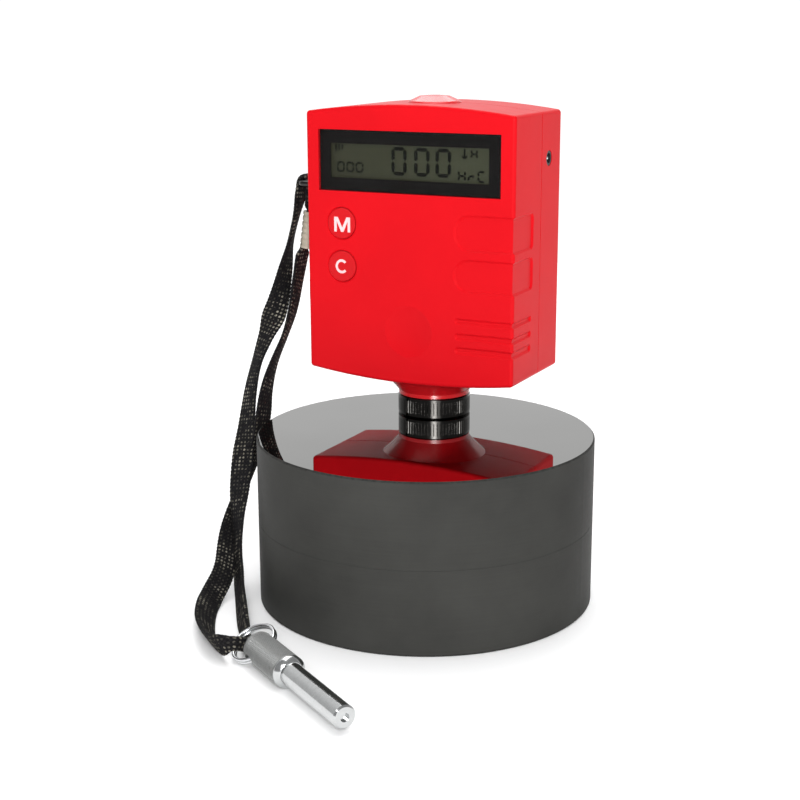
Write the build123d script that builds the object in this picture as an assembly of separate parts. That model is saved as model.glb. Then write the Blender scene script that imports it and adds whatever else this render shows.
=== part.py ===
from build123d import *
import math
import os

os.makedirs("parts", exist_ok=True)

# Pocket rebound hardness tester standing on its round steel test block.
# Frame: origin at the centre of the block's underside, +Z up, the display
# looks along -Y, +X is to the right of the display. Millimetres.

# ---------------------------------------------------------------- dimensions
BLOCK_D = 90.0            # test block
BLOCK_H = 45.0
BLOCK_CHAMFER = 0.4

AX, AY = -7.6, 21.4       # where the tester's axis stands on the block

CASE_X0, CASE_X1 = -31.0, 30.0         # case, seen from the display side
CASE_FRONT = -15.6        # front face, from the tester's axis
CASE_BACK = 16.6
SPLIT_Y = 2.6             # parting plane between the two shells
CASE_BOT, CASE_BOT_MID = 13.2, 11.0    # lower corners, middle of the lower arc
CASE_TOP, CASE_TOP_MID = 83.4, 85.6    # upper corners, middle of the upper arc
WALL = 2.0
EDGE_R = 0.9              # long edges of the case
CORNER_R = 1.0

WIN_X0, WIN_X1, WIN_Z0, WIN_Z1 = -27.2, 26.1, 62.4, 78.7    # display window
LCD_X0, LCD_X1, LCD_Z0, LCD_Z1 = -23.9, 22.4, 65.9, 75.0    # its clear area

KEY_X, KEY_M_Z, KEY_C_Z, KEY_R = -20.4, 53.7, 42.0, 4.2
KEY_GAP = 0.08
KEY_TRAVEL = 0.6

SIDE_KEY_Y0, SIDE_KEY_Y1, SIDE_KEY_Z0, SIDE_KEY_Z1 = -13.3, -7.3, 31.4, 37.3
SIDE_KEY_OUT = 1.3

BUTTON_R, BUTTON_TOP_R, BUTTON_TOP = 7.15, 4.0, 87.4
BUTTON_TRAVEL = 2.5

RING_R, RING_H = 10.05, 5.8        # support ring
BARREL_R = 8.95
TUBE_R, TUBE_BORE = 4.5, 3.5       # guide tube
HAMMER_R = 3.4
HAMMER_TRAVEL = 8.0

JACK_Y, JACK_Z, JACK_R = 7.9, 71.1, 1.85

LUG_X, LUG_Z, LUG_WIRE = -35.1, 63.5, 1.6

STRAP_TUBE = 2.9                   # round tube of the flat strap's section area
ROD_END = (-16.0, -60.9, 4.15)      # centre of the handle's ring end
ROD_DIR = (0.8394, -0.5433, 0.0)
HANDLE_R, HANDLE_L = 4.1, 18.8
ROD_R, ROD_L = 2.85, 26.2
HOLE_AT, HOLE_R = 2.9, 1.7
SPLIT_RING_R, SPLIT_RING_WIRE, SPLIT_RING_PITCH = 5.7, 0.42, 0.88

TESTER = Pos(AX, AY, BLOCK_H)


def out(name, shape, local=True):
    shape = TESTER * shape if local else shape
    solids = shape.solids() if hasattr(shape, "solids") else [shape]
    solids = [s for s in solids if s.volume > 1e-4]
    thing = solids[0] if len(solids) == 1 else Compound(children=list(solids))
    thing.label = name
    export_step(thing, f"parts/{name}.step")
    print(f"{name}: {len(solids)} solid(s), {sum(s.volume for s in solids):.1f} mm3")
    return thing


def cyl(r, z0, z1, x=0.0, y=0.0):
    return Pos(x, y, (z0 + z1) / 2) * Cylinder(r, z1 - z0)


def tube(r_out, r_in, z0, z1, x=0.0, y=0.0):
    return cyl(r_out, z0, z1, x, y) - cyl(r_in, z0 - 1, z1 + 1, x, y)


def ycyl(r, y0, y1, x, z):
    return Pos(x, (y0 + y1) / 2, z) * Rot(90, 0, 0) * Cylinder(r, y1 - y0)


def xcyl(r, x0, x1, y, z):
    return Pos((x0 + x1) / 2, y, z) * Rot(0, 90, 0) * Cylinder(r, x1 - x0)


def block(x0, x1, y0, y1, z0, z1):
    return Pos((x0 + x1) / 2, (y0 + y1) / 2, (z0 + z1) / 2) * Box(x1 - x0, y1 - y0, z1 - z0)


def turned(points):
    """A body of revolution about the tester's axis from (radius, z) points."""
    edge = Polyline(*[(r, 0, z) for r, z in points], close=True)
    return revolve(make_face(edge), axis=Axis.Z, revolution_arc=360)


def outline(inset, y0, y1):
    """The case's front outline, inset all round, between two depths."""
    x0, x1 = CASE_X0 + inset, CASE_X1 - inset
    xm = (x0 + x1) / 2
    b, bm = CASE_BOT + inset, CASE_BOT_MID + inset
    t, tm = CASE_TOP - inset, CASE_TOP_MID - inset
    edges = (
        ThreePointArc((x0, 0, b), (xm, 0, bm), (x1, 0, b))
        + Line((x1, 0, b), (x1, 0, t))
        + ThreePointArc((x1, 0, t), (xm, 0, tm), (x0, 0, t))
        + Line((x0, 0, t), (x0, 0, b))
    )
    face = make_face(edges)
    solid = extrude(face, amount=y1 - y0, dir=(0, 1, 0))
    box = solid.bounding_box()
    return Pos(0, y0 - box.min.Y, 0) * solid


# ------------------------------------------------------------------ test block
body = Cylinder(BLOCK_D / 2, BLOCK_H)
body = Pos(0, 0, BLOCK_H / 2) * chamfer(body.edges().filter_by(GeomType.CIRCLE), BLOCK_CHAMFER)
scribed = tube(BLOCK_D / 2 + 1, BLOCK_D / 2 - 0.05, BLOCK_H / 2 - 0.12, BLOCK_H / 2 + 0.12)
out("test_block", body - scribed, local=False)

# ------------------------------------------------------------------ case shells
case = outline(0.0, CASE_FRONT, CASE_BACK)
case = fillet(case.edges().filter_by(Axis.Y), CORNER_R)
front_edges = case.faces().sort_by(Axis.Y)[0].edges()
case = fillet(front_edges, EDGE_R)
back_edges = case.faces().sort_by(Axis.Y)[-1].edges()
case = fillet(back_edges, EDGE_R)
solid_case = case

inside = outline(WALL, CASE_FRONT + WALL, CASE_BACK - WALL)
hollow = case - inside
front = hollow & block(-60, 60, -60, SPLIT_Y - 0.02, 0, 120)
rear = hollow & block(-60, 60, SPLIT_Y + 0.02, 60, 0, 120)
# fine groove along the parting line, half of it in each shell
SEAM_DEEP, SEAM_HALF = 0.15, 0.14
core = outline(SEAM_DEEP, SPLIT_Y - 5, SPLIT_Y + 5)
front -= block(-40, 40, SPLIT_Y - SEAM_HALF, SPLIT_Y + 1, 0, 120) - core
rear -= block(-40, 40, SPLIT_Y - 1, SPLIT_Y + SEAM_HALF, 0, 120) - core
# openings that cross the parting plane
for cutter in (Rot(0, 0, 90) * cyl(BUTTON_R + 0.09, 78, 95), Rot(0, 0, 90) * cyl(10.5, 5, 16)):
    front -= cutter
    rear -= cutter

# window pocket and the opening behind it
front -= block(WIN_X0, WIN_X1, CASE_FRONT - 1, CASE_FRONT + 1.1, WIN_Z0, WIN_Z1)
front -= block(LCD_X0 - 0.9, LCD_X1 + 0.9, CASE_FRONT - 1, CASE_FRONT + 4, LCD_Z0 - 0.9, LCD_Z1 + 0.9)

# key holes, eased at the face
for kz in (KEY_M_Z, KEY_C_Z):
    front -= ycyl(KEY_R + KEY_GAP, CASE_FRONT - 1, CASE_FRONT + 4, KEY_X, kz)
    ease = Pos(KEY_X, CASE_FRONT + 0.15, kz) * Rot(90, 0, 0) * Cone(KEY_R + KEY_GAP, KEY_R + KEY_GAP + 0.3, 0.3)
    front -= ease
front -= block(-33, -28, SIDE_KEY_Y0 - KEY_GAP, SIDE_KEY_Y1 + KEY_GAP, SIDE_KEY_Z0 - KEY_GAP, SIDE_KEY_Z1 + KEY_GAP)

# finger recesses: shallow pockets with sloped walls that start round on the
# front face, run over the right front edge and end on the right side
DEPTH, SLOPE, LEAD = 0.45, 52, 0.2
floor_ = outline(DEPTH, CASE_FRONT + DEPTH, CASE_BACK + 5)
floor_ = fillet(floor_.faces().sort_by(Axis.Y)[0].edges().filter_by(Axis.Z), EDGE_R - 0.3)
shell_skin = case - floor_


def finger(z0, z1, x_start, y_end, corner):
    grow = LEAD * math.tan(math.radians(SLOPE))
    zc, h = (z0 + z1) / 2, z1 - z0 + 2 * grow
    length = 50 - x_start + 2 * grow
    on_front = Plane(origin=(x_start - grow + length / 2, CASE_FRONT - LEAD, zc), x_dir=(1, 0, 0), z_dir=(0, 1, 0))
    on_front = extrude(on_front * SlotOverall(length, h), amount=DEPTH + LEAD, taper=SLOPE)
    y0, y1 = CASE_FRONT - 12, y_end + grow
    on_side = Plane(origin=(CASE_X1 + LEAD, (y0 + y1) / 2, zc), x_dir=(0, 1, 0), z_dir=(-1, 0, 0))
    ended = RectangleRounded(y1 - y0, h, corner + grow) if corner else SlotOverall(y1 - y0, h)
    on_side = extrude(on_side * ended, amount=DEPTH + LEAD, taper=SLOPE)
    return (on_front + on_side) & shell_skin


for z0, z1 in ((48.2, 57.9), (37.4, 46.3)):
    front -= finger(z0, z1, 12.8, CASE_FRONT + 13.2, 1.6)
for z0, z1 in ((28.8, 30.5), (24.6, 26.5), (20.7, 22.8)):
    front -= finger(z0, z1, 13.3, CASE_FRONT + 12.5, None)

# concave thumb dish
DISH_X, DISH_Z, DISH_R, DISH_DEEP = -0.35, 25.5, 7.0, 0.8
dish_sphere = (DISH_R**2 + DISH_DEEP**2) / (2 * DISH_DEEP)
front -= Pos(DISH_X, CASE_FRONT + DISH_DEEP - dish_sphere, DISH_Z) * Sphere(dish_sphere)

# screw bosses in the front shell and their posts in the rear shell
SCREWS = [(-25.4, 18.6), (25.4, 18.6), (-25.4, 79.9), (25.4, 79.9)]
inner_front = outline(WALL - 0.2, CASE_FRONT + WALL - 0.2, CASE_BACK - WALL + 0.2)
for sx, sz in SCREWS:
    front += (ycyl(2.3, CASE_FRONT + WALL - 0.2, SPLIT_Y - 0.02, sx, sz) & inner_front) - ycyl(1.05, -8, SPLIT_Y + 1, sx, sz)
    rear += (ycyl(3.0, SPLIT_Y + 0.02, CASE_BACK - WALL + 0.2, sx, sz) & inner_front)
for sx, sz in SCREWS:
    front -= ycyl(1.05, -8, SPLIT_Y + 1, sx, sz)
    rear -= ycyl(1.15, 0, 20, sx, sz)
    rear -= ycyl(2.1, 12.6, 20, sx, sz)

# board posts behind the front face
BOARD_Y0, BOARD_Y1 = -9.6, -8.0
BOARD_SCREWS = [(-12.0, 34.0), (23.0, 34.0), (-12.0, 59.0), (23.0, 59.0)]
for sx, sz in BOARD_SCREWS:
    front += ycyl(2.0, CASE_FRONT + WALL - 0.2, BOARD_Y0, sx, sz)
for sx, sz in BOARD_SCREWS:
    front -= ycyl(0.75, -13.0, BOARD_Y0 + 1, sx, sz)

# holes for the strap lug's two legs
LUG_Y0, LUG_Y1 = -12.4, -4.4
for ly in (LUG_Y0, LUG_Y1):
    front -= xcyl(LUG_WIRE / 2 + 0.05, -33, -28, ly, LUG_Z)

# jack opening
rear -= xcyl(JACK_R + 0.25, 26, 32, JACK_Y, JACK_Z)

# shallow plain panel on the back
PANEL = (-19.0, 18.0, 33.0, 60.0, 0.35)
panel = block(PANEL[0], PANEL[1], CASE_BACK - PANEL[4], CASE_BACK + 3, PANEL[2], PANEL[3])
rear -= fillet(panel.edges().filter_by(Axis.Y), 2.0)

out("front_shell", front)
out("rear_shell", rear)

# ------------------------------------------------------------------ neck collar
flare = revolve(
    make_face(
        Polyline((9.0, 0, RING_H + 0.05), (9.9, 0, RING_H + 0.05), (9.95, 0, 6.85))
        + ThreePointArc((9.95, 0, 6.85), (11.9, 0, 9.1), (15.2, 0, 11.95))
        + Polyline((15.2, 0, 11.95), (9.0, 0, 11.95), (9.0, 0, RING_H + 0.05))
    ),
    axis=Axis.Z,
)
neck = flare - solid_case
neck += tube(10.4, 9.0, 9.0, 15.4)
neck += tube(12.0, 9.0, 14.0, 15.4)
out("neck_collar", neck)

# ---------------------------------------------------------------- impact device
barrel = tube(BARREL_R, 8.1, 1.3, 22.0) + tube(8.3, TUBE_R + 0.05, 1.3, 2.8)
out("device_barrel", barrel)
out("guide_tube", tube(TUBE_R, TUBE_BORE, 1.4, 60.0))
bobbin = tube(5.2, TUBE_R + 0.05, 4.0, 14.0) + tube(8.0, TUBE_R + 0.05, 4.0, 5.0) + tube(8.0, TUBE_R + 0.05, 13.0, 14.0)
out("coil_bobbin", bobbin)
out("coil_winding", tube(7.6, 5.25, 5.05, 12.95))

hammer = turned(
    [(0, 2.4), (1.6, 2.4), (HAMMER_R, 6.4), (HAMMER_R, 27.0), (1.2, 27.0), (1.2, 36.0),
     (1.5, 36.0), (1.7, 36.4), (1.7, 37.4), (1.3, 38.0), (0, 38.0)]
)
hammer -= Pos(0, 0, 1.7) * Sphere(1.5)
hammer -= tube(HAMMER_R + 1, 2.2, 8.0, 12.0)
out("impact_hammer", hammer)
out("hammer_magnet", tube(HAMMER_R - 0.05, 2.2, 8.0, 12.0))
out("ball_tip", Pos(0, 0, 1.7) * Sphere(1.5))

chuck = cyl(HAMMER_R, 42.0, 52.0) - cyl(1.8, 41.0, 50.0) - cyl(1.3, 49.0, 53.0)
for a in (0, 60, 120):
    chuck -= Rot(0, 0, a) * block(-10, 10, -0.3, 0.3, 41.0, 48.5)
out("catch_chuck", chuck)


def spring(z0, z1, radius, wire, turns):
    pitch = (z1 - z0 - 2 * wire) / turns
    path = Helix(pitch=pitch, height=pitch * turns, radius=radius)
    start = path @ 0
    section = Plane(origin=start, z_dir=path % 0) * Circle(wire)
    return Pos(0, 0, z0 + wire) * sweep(section, path=path, is_frenet=True)


out("impact_spring", spring(27.1, 41.9, 2.5, 0.25, 8))

cap = cyl(6.0, 60.0, 64.0) + cyl(3.45, 56.0, 60.0) - cyl(1.3, 55.0, 65.0)
out("guide_cap", cap)
bracket = block(-10, 10, -6.0, CASE_BACK - WALL - 0.05, 52.0, 56.0) - cyl(TUBE_R + 0.05, 51, 57)
bracket -= block(-8.5, 8.5, 6.0, 12.2, 51, 53.2)
out("device_bracket", bracket)

# ---------------------------------------------------------------- release button
button = turned(
    [(0, 82.2), (7.9, 82.2), (7.9, 83.2), (BUTTON_R, 83.2), (BUTTON_R, 85.6), (6.9, 85.95),
     (BUTTON_TOP_R, 87.25), (2.0, 87.4), (0, 87.4)]
)
button -= cyl(1.25, 82.0, 84.2)
out("release_button", button)
out("release_rod", cyl(1.2, 50.3, 84.15))
out("button_spring", spring(64.1, 82.1, 3.4, 0.3, 6))

# ------------------------------------------------------------------- keys
for name, kz in (("key_m", KEY_M_Z), ("key_c", KEY_C_Z)):
    cap_ = ycyl(KEY_R, CASE_FRONT - 0.15, CASE_FRONT + WALL + 0.3, KEY_X, kz)
    face_edge = cap_.edges().filter_by(GeomType.CIRCLE).sort_by(Axis.Y)[0]
    cap_ = chamfer(face_edge, 0.25)
    flange = ycyl(5.0, CASE_FRONT + WALL + 0.1, CASE_FRONT + WALL + 0.8, KEY_X, kz)
    out(name, cap_ + flange)
side_key = block(CASE_X0 - SIDE_KEY_OUT, -28.5, SIDE_KEY_Y0, SIDE_KEY_Y1, SIDE_KEY_Z0, SIDE_KEY_Z1)
side_key = fillet(side_key.faces().sort_by(Axis.X)[0].edges(), 0.7)
side_key += block(-28.9, -28.0, -13.4, -5.4, 30.6, 38.1)
out("side_key", side_key)

# ------------------------------------------------------------------- display
window = block(WIN_X0 + 0.05, WIN_X1 - 0.05, CASE_FRONT + 0.05, CASE_FRONT + 0.9, WIN_Z0 + 0.05, WIN_Z1 - 0.05)
out("display_window", window)
border = block(WIN_X0 + 0.05, WIN_X1 - 0.05, CASE_FRONT + 0.92, CASE_FRONT + 1.08, WIN_Z0 + 0.05, WIN_Z1 - 0.05)
border -= block(LCD_X0, LCD_X1, CASE_FRONT, CASE_FRONT + 2, LCD_Z0, LCD_Z1)
out("window_border", border)
GLASS = (-25.9, 24.4, -13.5, -11.3, 64.0, 77.0)
out("display_glass", block(*GLASS))
out("display_backlight", block(-25.0, 23.5, -11.25, -9.9, 66.4, 74.6))
strips = Compound(children=[block(-25.5, 24.0, -11.25, BOARD_Y0 - 0.05, z, z + 1.6) for z in (64.2, 75.2)])
out("contact_strips", strips)

# ------------------------------------------------------------------ electronics
board = block(-26.0, 26.0, BOARD_Y0, BOARD_Y1, 30.0, 77.3)
for sx, sz in BOARD_SCREWS:
    board -= ycyl(1.1, -12, -5, sx, sz)
out("main_board", board)
screws = [ycyl(1.8, BOARD_Y1, BOARD_Y1 + 1.1, x, z) + ycyl(0.7, -12.8, BOARD_Y1 + 0.2, x, z) for x, z in BOARD_SCREWS]
out("board_screws", Compound(children=screws))
out("processor", block(8.0, 18.0, BOARD_Y1, BOARD_Y1 + 1.2, 44.0, 54.0))
smd = [
    block(-6.0, -1.0, BOARD_Y1, BOARD_Y1 + 1.3, 66.0, 70.0),
    block(5.0, 9.0, BOARD_Y1, BOARD_Y1 + 1.5, 36.0, 41.0),
    block(12.0, 15.0, BOARD_Y1, BOARD_Y1 + 0.9, 38.0, 39.6),
    block(17.0, 20.0, BOARD_Y1, BOARD_Y1 + 0.9, 38.0, 39.6),
    block(12.0, 15.0, BOARD_Y1, BOARD_Y1 + 0.9, 59.0, 60.6),
    block(17.0, 20.0, BOARD_Y1, BOARD_Y1 + 0.9, 62.0, 63.6),
    block(-20.0, -16.0, BOARD_Y1, BOARD_Y1 + 1.4, 44.0, 49.0),
    ycyl(2.4, BOARD_Y1, BOARD_Y1 + 2.6, 18.0, 70.0),
]
out("board_components", Compound(children=smd))
out("key_switches", Compound(children=[
    block(KEY_X - 3, KEY_X + 3, -11.4, BOARD_Y0, z - 3, z + 3) + ycyl(1.6, -12.05, -11.0, KEY_X, z)
    for z in (KEY_M_Z, KEY_C_Z)
]))
out("side_switch", block(-25.6, -22.4, BOARD_Y1, -4.6, 32.0, 36.7) + xcyl(1.0, -27.3, -25.0, -6.2, 34.35))
out("battery_connector", block(-17.0, -11.0, BOARD_Y1, -4.6, 53.0, 57.0))
battery = block(-26.0, 16.0, 9.1, 13.4, 23.0, 51.0)
battery = fillet(battery.edges().filter_by(Axis.Z), 1.6)
out("battery", battery)


def wire(points, radius, bend):
    path = FilletPolyline(*points, radius=bend)
    return sweep(Plane(origin=path @ 0, z_dir=path % 0) * Circle(radius), path=path)


out("battery_leads", Compound(children=[
    wire([(x, 11.2, 51.05), (x, 11.2, 62.0), (x, -6.2, 62.0), (x, -6.2, 57.05)], 0.6, 2.0)
    for x in (-13.0, -15.0)
]))
out("coil_leads", Compound(children=[
    wire([(x, -6.4, 14.05), (x, -6.4, 27.0), (x, -7.3, 33.0), (x, -7.3, 37.0)], 0.4, 3.0)
    for x in (1.6, 3.2)
]))

# jack in the right side
jack = block(19.0, 27.9, 4.6, 11.2, 67.8, 74.4) + xcyl(JACK_R + 0.15, 27.0, 29.85, JACK_Y, JACK_Z)
jack -= xcyl(1.4, 20.5, 31, JACK_Y, JACK_Z)
out("charging_jack", jack)
out("jack_pin", xcyl(0.45, 20.5, 29.2, JACK_Y, JACK_Z) + Pos(29.2, JACK_Y, JACK_Z) * Sphere(0.45))

# strap lug: a bent wire staple
lug = wire([(-27.0, LUG_Y0, LUG_Z), (LUG_X, LUG_Y0, LUG_Z), (LUG_X, LUG_Y1, LUG_Z), (-27.0, LUG_Y1, LUG_Z)], LUG_WIRE / 2, 1.5)
out("strap_lug", lug)

# case screws, entered from the rear
case_screws = []
for sx, sz in SCREWS:
    s = ycyl(1.9, 12.6, 14.2, sx, sz) + ycyl(1.0, -7.0, 12.7, sx, sz)
    s -= block(sx - 0.25, sx + 0.25, 13.5, 15.0, sz - 1.4, sz + 1.4)
    s -= block(sx - 1.4, sx + 1.4, 13.5, 15.0, sz - 0.25, sz + 0.25)
    case_screws.append(s)
out("case_screws", Compound(children=case_screws))

# ------------------------------------------------------------------ support ring
ring = turned(
    [(6.75, 0.0), (9.6, 0.0), (RING_R, 0.45), (RING_R, 5.45), (9.75, RING_H), (BARREL_R + 0.05, RING_H),
     (BARREL_R + 0.05, 1.2), (6.75, 1.2)]
)
KNURLS = 72
tooth = Pos(RING_R + 0.2, 0, 2.95) * Rot(0, 0, 45) * Box(0.45, 0.45, 3.5)
ring -= [Rot(0, 0, 360 / KNURLS * i) * tooth for i in range(KNURLS)]
out("support_ring", ring)

# ------------------------------------------------- lanyard, ferrule, split ring
ROUTE = [
    (-42.1, 12.9, 97.2), (-41.45, 12.93, 102.1), (-40.85, 13.0, 105.7), (-39.95, 13.0, 109.9), (-42.75, 13.0, 111.7),
    (-45.5, 13.0, 109.8), (-45.7, 12.4, 105.4), (-45.75, 12.1, 99.6), (-47.52, 11.5, 92.23), (-48.68, 10.0, 83.32),
    (-49.63, 7.5, 74.53), (-51.71, 4.5, 66.58), (-53.63, 1.5, 58.63), (-53.77, -2.0, 50.69), (-52.76, -5.8, 42.42),
    (-51.48, -10.2, 34.42), (-49.99, -14.6, 26.55), (-48.4, -18.4, 19.21), (-46.66, -21.6, 12.08), (-44.23, -25.2, 6.15),
    (-40.34, -30.82, 3.3), (-35.42, -37.97, 2.2), (-30.23, -45.32, 1.95), (-25.46, -51.36, 1.75), (-21.2, -57.2, 1.75),
    (-19.6, -62.1, 4.5), (-20.5, -64.8, 5.5), (-23.1, -65.2, 4.8), (-26.44, -63.47, 3.4), (-32.43, -58.33, 2.4),
    (-40.36, -48.57, 2.0), (-46.85, -36.68, 2.1), (-48.87, -29.0, 6.37), (-51.25, -22.8, 11.16), (-52.88, -17.0, 16.36),
    (-52.67, -12.0, 22.22), (-50.92, -8.4, 29.35), (-48.76, -6.2, 37.2), (-47.75, -4.8, 45.08), (-48.49, -2.2, 52.46),
    (-48.1, 1.5, 59.75), (-47.01, 5.5, 66.24), (-46.37, 9.0, 73.4), (-46.26, 11.3, 80.45), (-45.2, 12.5, 84.6),
    (-43.31, 12.84, 88.06), (-42.17, 12.9, 96.7),
]


def radii(points):
    found = []
    for a, b, c in zip(points, points[1:], points[2:]):
        u, v = Vector(*b) - Vector(*a), Vector(*c) - Vector(*b)
        turn = math.radians(u.get_angle(v))
        found.append(0.45 * min(u.length, v.length) / math.tan(turn / 2))
    return found


bends = radii(ROUTE)
print("lanyard bend radii:", " ".join(f"{r:.1f}" for r in bends))
route = FilletPolyline(*ROUTE, radius=bends)
strap = sweep(Plane(origin=route @ 0, z_dir=route % 0) * Circle(STRAP_TUBE / 2), path=route)
section = math.pi * STRAP_TUBE**2 / 4
print(f"lanyard length {route.length:.1f} mm, volume {strap.volume:.1f}, section x length {section * route.length:.1f}")
out("lanyard", strap, local=False)

start, towards = Vector(*ROUTE[0]), Vector(*ROUTE[1])
axis = (towards - start).normalized()
FERRULE_L = 10.2
low = Vector(*ROUTE[-1]) - axis * 6.5
place = Plane(origin=low, z_dir=axis)
ferrule = Pos(0, 0, FERRULE_L / 2) * (Cylinder(2.0, FERRULE_L) - Cylinder(STRAP_TUBE / 2 + 0.06, FERRULE_L + 2))
for i in range(6):
    z = 1.1 + i * 1.6
    ferrule -= Pos(0, 0, z) * (Cylinder(3.0, 0.6) - Cylinder(1.8, 0.6))
out("lanyard_ferrule", place.location * ferrule, local=False)

d = Vector(*ROD_DIR).normalized()
h = Vector(-d.Y, d.X, 0)
hole_dir = h * math.cos(math.radians(30)) + Vector(0, 0, 1) * math.sin(math.radians(30))
end = Vector(*ROD_END)
hole_mid = end + d * HOLE_AT
ring_mid = hole_mid - d * 4.7
ring_axis = d.cross(hole_dir)
turns_h = 2 * SPLIT_RING_PITCH
loop = Helix(pitch=SPLIT_RING_PITCH, height=turns_h, radius=SPLIT_RING_R)
coil = sweep(Plane(origin=loop @ 0, z_dir=loop % 0) * Circle(SPLIT_RING_WIRE), path=loop, is_frenet=True)
ring_start = d * -math.cos(math.radians(38)) + ring_axis.cross(d * -1) * math.sin(math.radians(38))
ring_plane = Plane(origin=ring_mid - ring_axis * (turns_h / 2), x_dir=ring_start, z_dir=ring_axis)
out("split_ring", ring_plane.location * coil, local=False)

# ------------------------------------------------------------------ loading rod
rod_plane = Plane(origin=end, x_dir=hole_dir, z_dir=d)   # local z runs to the tip, local x along the hole
handle = Pos(0, 0, HANDLE_L / 2) * Cylinder(HANDLE_R, HANDLE_L)
rims = handle.edges().filter_by(GeomType.CIRCLE).sort_by(Axis.Z)
handle = chamfer(rims[0], 0.8)
handle = chamfer(handle.edges().filter_by(GeomType.CIRCLE).sort_by(Axis.Z)[-1], 1.1)
handle -= Pos(0, 0, HOLE_AT) * Rot(0, 90, 0) * Cylinder(HOLE_R, 12)
for side in (-1, 1):
    handle -= Pos(side * (HANDLE_R - 0.35), 0, HOLE_AT) * Rot(0, 90 * side, 0) * Cone(HOLE_R, HOLE_R + 0.9, 1.0)
handle -= Pos(0, 0, HANDLE_L - 4) * Cylinder(2.0, 8.2)
out("rod_handle", rod_plane.location * handle, local=False)
push = Pos(0, 0, HANDLE_L + 0.05 + ROD_L / 2) * Cylinder(ROD_R, ROD_L)
push = chamfer(push.edges().filter_by(GeomType.CIRCLE).sort_by(Axis.Z)[-1], 0.4)
push += Pos(0, 0, HANDLE_L - 3.5) * Cylinder(1.95, 7.6)
push -= Pos(0, 0, HANDLE_L + ROD_L) * Cylinder(1.1, 1.6)
out("push_rod", rod_plane.location * push, local=False)
print("ring hinge at", hole_mid, "axis", hole_dir)
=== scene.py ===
import math

import bmesh
import bpy
from mathutils import Matrix, Vector


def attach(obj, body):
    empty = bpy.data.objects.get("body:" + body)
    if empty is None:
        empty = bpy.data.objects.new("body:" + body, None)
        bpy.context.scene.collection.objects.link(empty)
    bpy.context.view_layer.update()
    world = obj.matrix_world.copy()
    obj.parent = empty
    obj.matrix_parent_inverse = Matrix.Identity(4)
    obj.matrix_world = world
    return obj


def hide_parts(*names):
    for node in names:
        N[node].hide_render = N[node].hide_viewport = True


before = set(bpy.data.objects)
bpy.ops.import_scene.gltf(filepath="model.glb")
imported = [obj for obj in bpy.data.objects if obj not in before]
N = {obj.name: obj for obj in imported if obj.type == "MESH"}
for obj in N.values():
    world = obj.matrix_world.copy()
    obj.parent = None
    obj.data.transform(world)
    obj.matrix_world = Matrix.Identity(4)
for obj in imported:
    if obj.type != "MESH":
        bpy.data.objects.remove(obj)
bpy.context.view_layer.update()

MM = 0.001
AX, AY, BZ = -7.6, 21.4, 45.0      # the tester's axis on the block, mm


def P(x, y, z):
    """A point given from the tester's axis and the block's top, in metres."""
    return Vector(((x + AX) * MM, (y + AY) * MM, (z + BZ) * MM))


scene = bpy.context.scene
scene.view_settings.view_transform = "Standard"

# ------------------------------------------------------------------ camera
right = Vector((0.89276, 0.45051, -0.00374))
up = Vector((-0.10751, 0.22108, 0.96931))
forward = Vector((-0.43751, 0.86496, -0.24581))
cam = bpy.data.objects.new("camera", bpy.data.cameras.new("camera"))
scene.collection.objects.link(cam)
m = Matrix((right, up, -forward)).transposed().to_4x4()
m.translation = Vector((0.16869, -0.34843, 0.15206))
cam.matrix_world = m
cam.data.sensor_width = 36.0
cam.data.lens = 67.56
cam.data.clip_start = 0.01
cam.data.clip_end = 20.0
scene.camera = cam


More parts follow.
